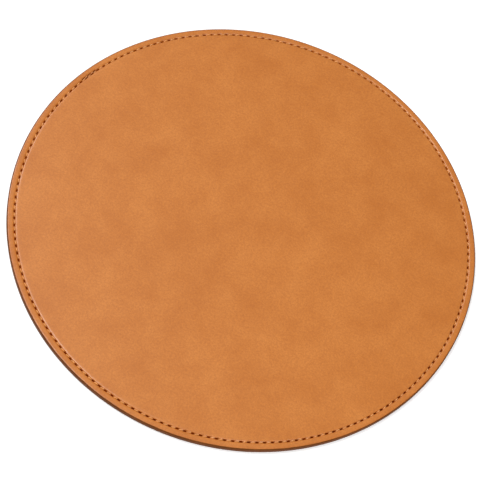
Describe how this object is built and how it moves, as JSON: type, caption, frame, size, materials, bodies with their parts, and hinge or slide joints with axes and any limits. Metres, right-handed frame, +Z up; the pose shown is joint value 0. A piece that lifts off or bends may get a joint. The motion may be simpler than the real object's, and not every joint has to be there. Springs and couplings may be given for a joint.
{
  "type": "mouse pad",
  "caption": "Round mouse pad: a smooth coated leather facing and a suede backing, sewn together over a thin stiffener board, with a painted edge.",
  "frame": {"origin": "centre of the flat underside, where the pad lies on the desk", "axes": "+Z up, square to the pad and out of the leather face; the pad is round, so X and Y are any two directions in its plane"},
  "size_m": [0.2198, 0.22, 0.003],
  "materials": {
    "coated_leather": "matte",
    "suede": "matte",
    "bond_film": "satin",
    "fibreboard": "matte",
    "thread": "matte",
    "edge_paint": "satin"
  },
  "bodies": {
    "root": {"needle_thread": "thread", "facing_leather": "coated_leather", "upper_bond_film": "bond_film", "stiffener_board": "fibreboard", "lower_bond_film": "bond_film", "backing_suede": "suede", "bobbin_thread": "thread", "edge_paint": "edge_paint"}
  },
  "joints": []
}
